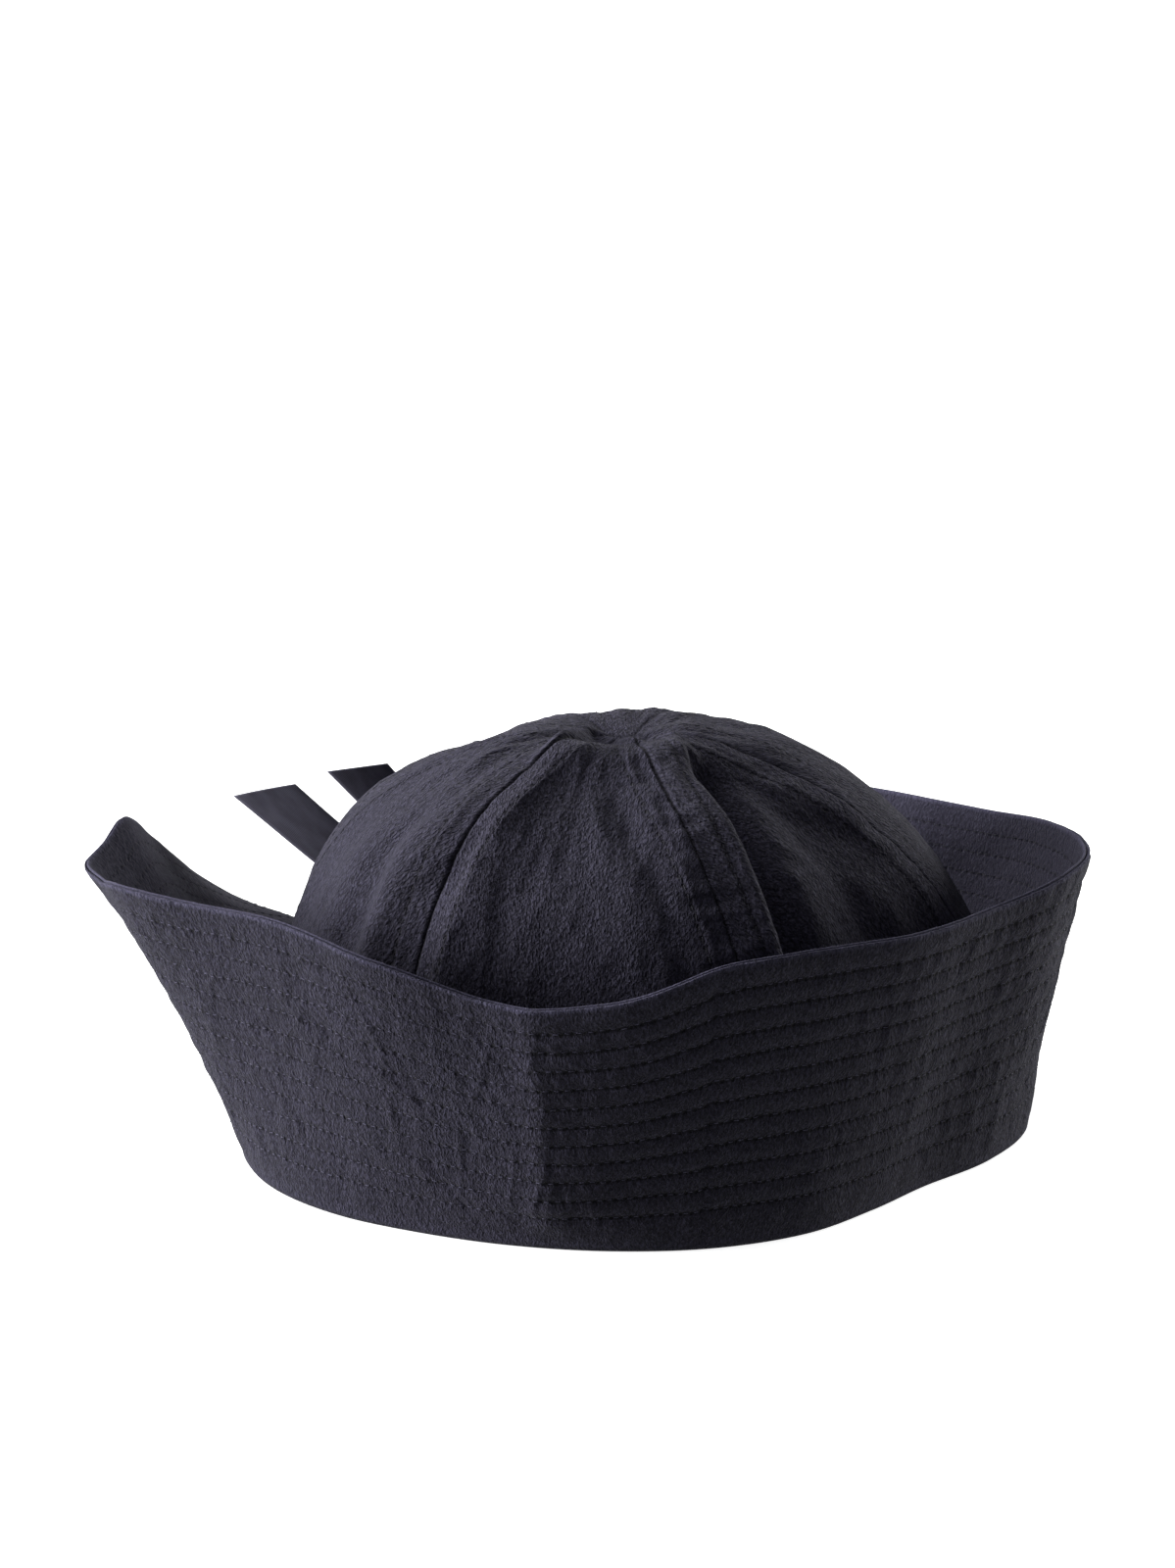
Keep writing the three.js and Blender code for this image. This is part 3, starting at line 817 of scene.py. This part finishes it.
def make_brim_facing(material):
    """The facing: its plain back, its rounded rim and its face."""
    degrees, steps = brim_columns(), brim_steps()[::-1]
    top = rim_top(degrees)
    climb = np.linspace(0, 1, BACK_ROWS)
    back = brim_cloth(degrees, climb * top, ply_at(climb * top) + GAP)
    relief = ply_relief(degrees, top, FACING_SEED, FACING_RELIEF)
    rim = rounded_rim(degrees, RIM_PLY + GAP, 0.0, relief)
    face = facing_surface(degrees, steps * top)
    points = np.concatenate([back, rim, face], 1)
    t = np.concatenate([climb, 1 + 0.01 * np.arange(RIM_POINTS)[::-1], steps, [0.0]])
    # The facing's rim is lightened as wear and as a painted highlight; its pull sets the painted shade of its
    # rows.
    values = {"worn": rim_wear_and_highlight(t[:-1]), "crinkle": 0.6 * end_share(degrees), "pull": 0.5}
    return brim_ply("brim_facing_cloth", points, t, values, material)


def make_brim_stitches(name, surface, inward, material, seed):
    """The brim's rows of stitches on one face."""
    random = np.random.default_rng(seed)
    places, tops = [], []
    for row in range(STITCH_ROWS):
        degrees = (np.arange(BRIM_STITCHES) + 0.5 - ROW_SHIFT * row) * 360 / BRIM_STITCHES
        t = 1 - FIRST_ROW - ROW_PITCH * row + 0 * degrees
        for _ in range(2):  # row_place bends a little round the cap, so the row is found again
            t = t + (row_place(degrees, t) - row) * ROW_PITCH
        places.append(degrees + random.normal(0, 0.03, BRIM_STITCHES))
        tops.append(t + random.normal(0, 0.0012, BRIM_STITCHES))
    degrees, t = np.concatenate(places), np.concatenate(tops)
    centres = surface(degrees, t)
    along = surface(degrees + 0.4, t) - surface(degrees - 0.4, t)
    out = brim_normal(degrees, t) * (-1 if inward else 1)
    centres = centres + out * 0.05
    return stitches(name, centres, along, out, STITCH_LENGTH, material, seed, lift=0.06)


# --- the crown
def crown_share(climb):
    """The share of its foot radius that the crown still has: climb is 0 at the foot, 90 at the apex."""
    return np.maximum(np.cos(np.radians(climb)), 0) ** (2 / CROWN_ACROSS)


def crown_radius(degrees, climb):
    return crown_share(climb) * (brim_at(degrees, "foot") - CROWN_INSET)


def plain_crown(degrees, climb):
    """The crown's outer face without folds."""
    share = crown_share(climb)
    radius = crown_radius(degrees, climb)
    waist, top = 4 * share * (1 - share), (1 - share) ** 2
    foot = PLY + GAP
    rise = np.maximum(np.sin(np.radians(climb)), 0) ** (2 / CROWN_UP)
    angle = np.radians(degrees)
    return np.stack([
        radius * np.cos(angle) + CROWN_BOW[0] * waist + APEX_SHIFT[0] * top,
        radius * np.sin(angle) + CROWN_BOW[1] * waist + APEX_SHIFT[1] * top,
        foot + (CROWN_HEIGHT - foot) * rise + 0 * radius,
    ], -1)


def crown_normal(degrees, climb):
    step = 0.5
    along = plain_crown(degrees + step, climb) - plain_crown(degrees - step, climb)
    up = plain_crown(degrees, climb + step) - plain_crown(degrees, climb - step)
    return unit(np.cross(along, up))


def fold_height(degrees, climb):
    """How far the cloth's large folds stand off the plain crown."""
    share, radius = crown_share(climb), crown_radius(degrees, climb)
    height_up = plain_crown(degrees, climb)[..., 2]
    puff = np.abs(np.sin(np.pi * (degrees - FIRST_SEAM) / GORE_WIDTH))
    total = GORE_PUFF * puff * smooth(share, *PUFF_FADE)
    for low, high, height, half, inner in FOLDS:
        middle = high + (low - high) * share
        across = np.radians(turn(degrees, middle)) * radius / half
        along = smooth(share, inner + FOLD_FADE[0], inner + FOLD_FADE[1])
        total = total + height * np.exp(-across * across) * along * smooth(height_up, *FOLD_RISE)
    total = total + (CROWN_INSET - SEAM_INSET) * (1 - smooth(height_up, PLY + GAP, SEAM_HEIGHT))
    return total - PIT_DEPTH * np.exp(-((radius / PIT_RADIUS) ** 2))


# The crown's middle line at the front: its climbs, its points, and the cloth's length up to each.
CLIMBS = np.linspace(0, 90, 400)
MERIDIAN = plain_crown(270.0, CLIMBS)
LENGTHS = np.concatenate([[0], np.cumsum(np.linalg.norm(np.diff(MERIDIAN, axis=0), axis=1))])


def meridian_length(climb):
    """How far up the cloth a climb is from the crown's foot, in mm."""
    return np.interp(climb, CLIMBS, LENGTHS)


def seam_side(degrees):
    """The signed angle from the nearest crown seam; negative is clockwise of it, seen from above."""
    return (degrees - FIRST_SEAM + GORE_WIDTH / 2) % GORE_WIDTH - GORE_WIDTH / 2


def front_share(degrees):
    """1 at the two front seams and less at the others, which lie flatter."""
    near = np.maximum(angle_bump(degrees, LEFT_SEAM, 22), angle_bump(degrees, RIGHT_SEAM, 22))
    return 0.4 + 0.6 * near


def crown_relief(degrees, climb):
    """Seams, welts, puckers and wrinkles of the crown's cloth, outward in mm."""
    radius = crown_radius(degrees, climb)
    up = meridian_length(climb) + 0 * radius
    side = np.radians(seam_side(degrees)) * radius
    low, open_top = smooth(up, 4, 14), smooth(radius, 9, 26)
    marked = front_share(degrees)
    seam = -0.55 * np.exp(-((side / 0.5) ** 2))
    welt = 0.45 * smooth(np.abs(side), WELT + 1.4, WELT - 0.6)
    sewn = -0.30 * np.exp(-(((np.abs(side) - WELT) / 0.7) ** 2))
    on_welt = smooth(np.abs(side), WELT + 4, WELT - 1) * (1 - 0.45 * smooth(side, -0.5, 0.5))
    pucker = 0.42 * on_welt * ring_noise(degrees * 0.25, up, (14, 3.2), 61)
    near = np.exp(-np.abs(side) / 14)
    drawn = 0.34 * near * ring_noise(degrees, up, (26, 6.5), 62)
    wrinkle = 0.40 * creases(degrees, up, 24, 34, 63)
    waves = 0.7 * ring_noise(degrees, up, (40, 42), 64, CROWN_ROUND)
    crumple = 0.16 * creases(degrees, up, 60, 13, 65)
    small = 0.08 * ring_noise(degrees, up, (4.5, 4.5), 66, CROWN_ROUND)
    shared = marked * (seam + (welt + sewn + pucker) * open_top)
    loose = open_top * (drawn + wrinkle + waves + crumple + small)
    return low * (shared + loose + seam_folds(degrees, climb)) + knot(degrees, climb)


def seam_folds(degrees, climb):
    """Folds that follow the front seams: a ridge each side of the left one, a tuck right of the other."""
    share, radius = crown_share(climb), crown_radius(degrees, climb)
    rise = smooth(plain_crown(degrees, climb)[..., 2], 8, 40)
    left = np.radians(turn(degrees, LEFT_SEAM)) * radius
    right = np.radians(turn(degrees, RIGHT_SEAM)) * radius
    sharp = 1.3 * np.exp(-np.abs(left - 7.0) / 2.6) * smooth(share, 0.12, 0.25)
    soft = 1.9 * bump(left, -15.0, 4.5) * smooth(share, 0.22, 0.4)
    valley = -1.0 * bump(right, -12.5, 4.0) * smooth(share, 0.3, 0.5)
    lip = 1.3 * bump(right, 9.6, 2.6) * smooth(share, 0.1, 0.3)
    edge = 11.0  # mm right of the seam, where the lip falls into the tuck
    past = np.maximum(right - edge, 0)
    tuck = -8.0 * smooth(right, edge, edge + 1.8) * np.exp(-past / 11) * smooth(share, 0.1, 0.5)
    return rise * (sharp + soft + valley + lip + tuck)


# Gathered cloth round the apex: each ridge's plan points in mm, height and half width, then pits.
HOOD = ((-20, -30), (-10, -13.5), (-7, -3.5), (-5, 0.5), (-1, -1.5), (2, -6), (4.2, -11), (6, -12.5))
KNOT_RIDGES = [
    (HOOD, 2.3, 2.2),
    (((8, -5), (12, -8), (17, -10.5), (21, -14.5)), 1.5, 2.2),
    (((-7, 0), (-17, -4), (-28, -11)), 1.2, 2.2),
    (((-6, -7), (-16, -20), (-24, -33)), 1.0, 1.5),
    (((4, 2), (3, 16), (-2, 30)), 0.6, 3.0),
    (((9, 0), (22, 6), (34, 9)), 0.8, 3.0),
]
KNOT_PITS = [((8.6, -3.8), 2.4, 2.6)]


def path_distance(x, y, path):
    """Distance in plan from each point to a path of straight pieces."""
    nearest = np.full(np.shape(x), np.inf)
    for (ax, ay), (bx, by) in zip(path, path[1:]):
        dx, dy = bx - ax, by - ay
        t = np.clip(((x - ax) * dx + (y - ay) * dy) / (dx * dx + dy * dy), 0, 1)
        nearest = np.minimum(nearest, np.hypot(x - ax - t * dx, y - ay - t * dy))
    return nearest


def knot(degrees, climb):
    """The gathered cloth round the apex: a hood of cloth over the front gore, pleats and small pits."""
    place = plain_crown(degrees, climb)
    x, y = place[..., 0], place[..., 1]
    total = 0.0
    for path, height, half in KNOT_RIDGES:
        far = smooth(np.hypot(x - APEX_SHIFT[0], y - APEX_SHIFT[1]), 38, 16)
        total = total + height * np.exp(-((path_distance(x, y, path) / half) ** 2)) * far
    for (px, py), depth, half in KNOT_PITS:
        total = total - depth * np.exp(-((np.hypot(x - px, y - py) / half) ** 2))
    return total


def crown_surface(degrees, climb, depth=0.0, detail=1.0):
    """A point of the crown's cloth, depth in, with that share of the fine relief."""
    offset = fold_height(degrees, climb) + detail * crown_relief(degrees, climb) - depth
    return plain_crown(degrees, climb) + crown_normal(degrees, climb) * offset[..., None]


def make_gore(name, start, columns, material):
    """One gore, from seam to seam and from the foot to its point beside the apex."""
    foot = brim_at(start, "foot") - CROWN_INSET
    highest = math.degrees(math.acos((TIP_RADIUS / foot) ** (CROWN_ACROSS / 2)))
    length = meridian_length(highest)
    climb = np.interp(np.linspace(0, length, GORE_ROWS + 1), LENGTHS, CLIMBS)[:, None]
    even = np.linspace(0, 1, columns + 1)
    share = (0.55 * even + 0.45 * (0.5 - 0.5 * np.cos(np.pi * even)))[None]
    radius = crown_share(climb) * foot
    degrees = start + GORE_WIDTH * share + 0 * climb
    outer = crown_surface(degrees, climb)
    inner = crown_surface(degrees, climb, CROWN_WALL, 0.5)
    across = np.radians(degrees - start - GORE_WIDTH / 2) * radius
    up = meridian_length(climb) + 0 * across
    side = np.radians(np.where(share < 0.5, degrees - start, degrees - start - GORE_WIDTH)) * radius
    cloth = np.stack([across + GORE_OFFSET * (start - FIRST_SEAM) / GORE_WIDTH, up], -1)
    from_row = np.abs(side) - WELT
    row = np.where(np.abs(from_row) < 3, from_row / ROW_MM, -2.0)
    stitched = np.stack([up / CROWN_STITCH, row], -1)
    # Lighter bands beside each seam, in the same colour as the rim's wear and painted highlight.
    worn = 0.15 * np.exp(-((np.abs(side) - 1.3) ** 2)) * smooth(radius, 8, 24)
    # A line along each seam darkened as painted shade in its groove, most at the front seams; pull sets the
    # painted shade at the stitch rows.
    seam = np.exp(-((side / 0.35) ** 2)) * smooth(radius, 1, 9) * front_share(degrees)
    values = {"worn": worn, "crinkle": 0.35 + 0 * worn, "seam": seam, "pull": 0.6 * front_share(degrees)}
    return sheet_object(name, outer, inner, cloth, stitched, values, material)


def make_crown_stitches(name, material):
    """Stitches on both sides of the six crown seams."""
    lengths = np.arange(9, meridian_length(80), CROWN_STITCH) + CROWN_STITCH / 2
    climbs = np.interp(lengths, LENGTHS, CLIMBS)
    places, heights = [], []
    for start, _ in GORES.values():
        radius = crown_radius(np.full(len(climbs), start), climbs)
        keep = radius > 16
        for beside in (-WELT, WELT):
            places.append((start + np.degrees(beside / radius))[keep])
            heights.append(climbs[keep])
    degrees, climb = np.concatenate(places), np.concatenate(heights)
    centres = crown_surface(degrees, climb)
    along = crown_surface(degrees, climb + 0.4) - crown_surface(degrees, climb - 0.4)
    out = crown_normal(degrees, climb)
    return stitches(name, centres + out * 0.02, along, out, CROWN_STITCH_LENGTH, material, 71, 0.05)


# --- the ribbon tails
def smooth_line(points, count):
    """Points along a smooth curve through the given ones, by Catmull and Rom's rule."""
    given = np.array(points, float)
    ends = np.vstack([2 * given[0] - given[1], given, 2 * given[-1] - given[-2]])
    places = np.linspace(0, len(given) - 1, count)
    k = np.minimum(places.astype(int), len(given) - 2)
    u = (places - k)[:, None]
    a, b, c, d = ends[k], ends[k + 1], ends[k + 2], ends[k + 3]
    return 0.5 * (2 * b + (c - a) * u + (2 * a - 5 * b + 4 * c - d) * u**2 + (3 * b - a - 3 * c + d) * u**3)


def make_tail(name, across, points, material):
    """One ribbon tail: a thin strip, its tip cut on the slant, its edges curled a little."""
    steps, columns = 110, 14
    line = smooth_line(points, steps + 1)
    forward = unit(np.gradient(line, axis=0))
    side = unit(np.array(across, float))
    face = unit(np.cross(forward, side))
    length = np.concatenate([[0], np.cumsum(np.linalg.norm(np.diff(line, axis=0), axis=1))])
    place = np.linspace(-0.5, 0.5, columns + 1)
    grow = 1 + (-TAIL_SLANT * 2 * place / length[-1])[None]
    along = length[:, None] * grow
    centre = np.stack([np.interp(along.ravel(), length, line[:, k]) for k in range(3)], -1)
    centre = centre.reshape(steps + 1, columns + 1, 3)
    centre = centre + np.maximum(along - length[-1], 0)[..., None] * forward[-1]
    flare = 1 + 0.1 * (along / length[-1]) ** 3
    curl = 0.5 * (2 * place) ** 2 + 0.35 * np.sin(along / 13 + 3 * place[None])
    middle = centre + side * (RIBBON_WIDTH * flare * place)[..., None] + face[:, None] * curl[..., None]
    half = face[:, None] * (RIBBON_THICKNESS / 2)
    cloth = np.stack([RIBBON_WIDTH * place[None] + 0 * along, along], -1)
    strip = sheet_object(name, middle - half, middle + half, cloth, cloth, {}, material)
    return strip, float(length[-1])


# --- camera, floor and light
def make_camera():
    camera = bpy.data.objects.new("camera", bpy.data.cameras.new("camera"))
    camera.data.lens = CAMERA_LENS
    camera.data.clip_end = 60
    camera.location = (Vector(CAMERA_PLACE) + Vector(SHIFT)) * 0.001
    camera.rotation_euler = (math.radians(90 - CAMERA_DOWN), 0, math.radians(-CAMERA_TURN))
    bpy.context.scene.collection.objects.link(camera)
    bpy.context.scene.camera = camera


def make_floor():
    """A plain pale floor. It throws no light back up, so the front of the cap stays dark."""
    half = 12.0
    mesh = bpy.data.meshes.new("floor")
    corners = [(-half, -half, 0), (half, -half, 0), (half, half, 0), (-half, half, 0)]
    mesh.from_pydata(corners, [], [(0, 1, 2, 3)])
    mesh.materials.append(floor_material())
    floor = bpy.data.objects.new("floor", mesh)
    floor.visible_diffuse = False
    floor.location.z = -0.0002
    bpy.context.scene.collection.objects.link(floor)


def make_sun(name, azimuth, elevation, strength, softness):
    """A soft far light that comes from that plan angle and height."""
    light = bpy.data.lights.new(name, "SUN")
    light.energy = strength
    light.angle = math.radians(softness)
    sun = bpy.data.objects.new(name, light)
    a, e = math.radians(azimuth), math.radians(elevation)
    towards = Vector((math.cos(a) * math.cos(e), math.sin(a) * math.cos(e), math.sin(e)))
    sun.rotation_euler = towards.to_track_quat("Z", "Y").to_euler()
    bpy.context.scene.collection.objects.link(sun)


def make_light():
    world = bpy.data.worlds.new("studio")
    bpy.context.scene.world = world
    world.use_nodes = True
    background = world.node_tree.nodes["Background"]
    background.inputs["Color"].default_value = SKY_COLOUR
    background.inputs["Strength"].default_value = SKY_STRENGTH
    for sun in SUNS:
        make_sun(*sun)
    bpy.context.scene.view_settings.view_transform = "Standard"


# --- put together
def frame_shift():
    """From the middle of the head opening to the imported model's origin: the same brim, in both frames."""
    low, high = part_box("brim_outer")
    degrees = np.arange(0, 360, 4.0)[:, None]
    own = brim_point(degrees, np.linspace(0, 1, 7)[None])[..., :2].reshape(-1, 2)
    middle = np.array([(low[k] + high[k]) / 2 * 1000 for k in range(2)])
    return np.array([*(middle - (own.min(0) + own.max(0)) / 2), 0.0])


SHIFT = frame_shift()


def main():
    crown_cotton = cloth_material("crown_cotton")
    brim_cotton = cloth_material("brim_cotton")
    facing_cotton = cloth_material("facing_cotton", 0.6, 0.15)
    thread = thread_material("navy_thread")
    # A darker copy of the thread, as painted shade.
    shaded_thread = thread_material("shaded_thread")
    ribbon = ribbon_material("ribbon_weave")

    make_camera()
    outer = make_brim_outer(brim_cotton)
    facing = make_brim_facing(facing_cotton)
    outer_rows = make_brim_stitches("brim_outer_stitches", outer_ply_surface, False, thread, 81)
    facing_rows = make_brim_stitches("brim_facing_stitches", facing_surface, True, shaded_thread, 82)
    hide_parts("brim_outer")
    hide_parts("brim_facing")

    pieces = [outer, facing, outer_rows, facing_rows]
    for node, (start, columns) in GORES.items():
        gore = make_gore(node + "_cloth", start, columns, crown_cotton)
        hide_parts(node)
        pieces.append(gore)
    pieces.append(make_crown_stitches("crown_stitches", shaded_thread))

    for node, tail in TAILS.items():
        strip, length = make_tail(node + "_ribbon", *tail, ribbon)
        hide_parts(node)
        pieces.append(strip)

    for piece in pieces:
        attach(piece, "root")
    make_floor()
    make_light()


main()
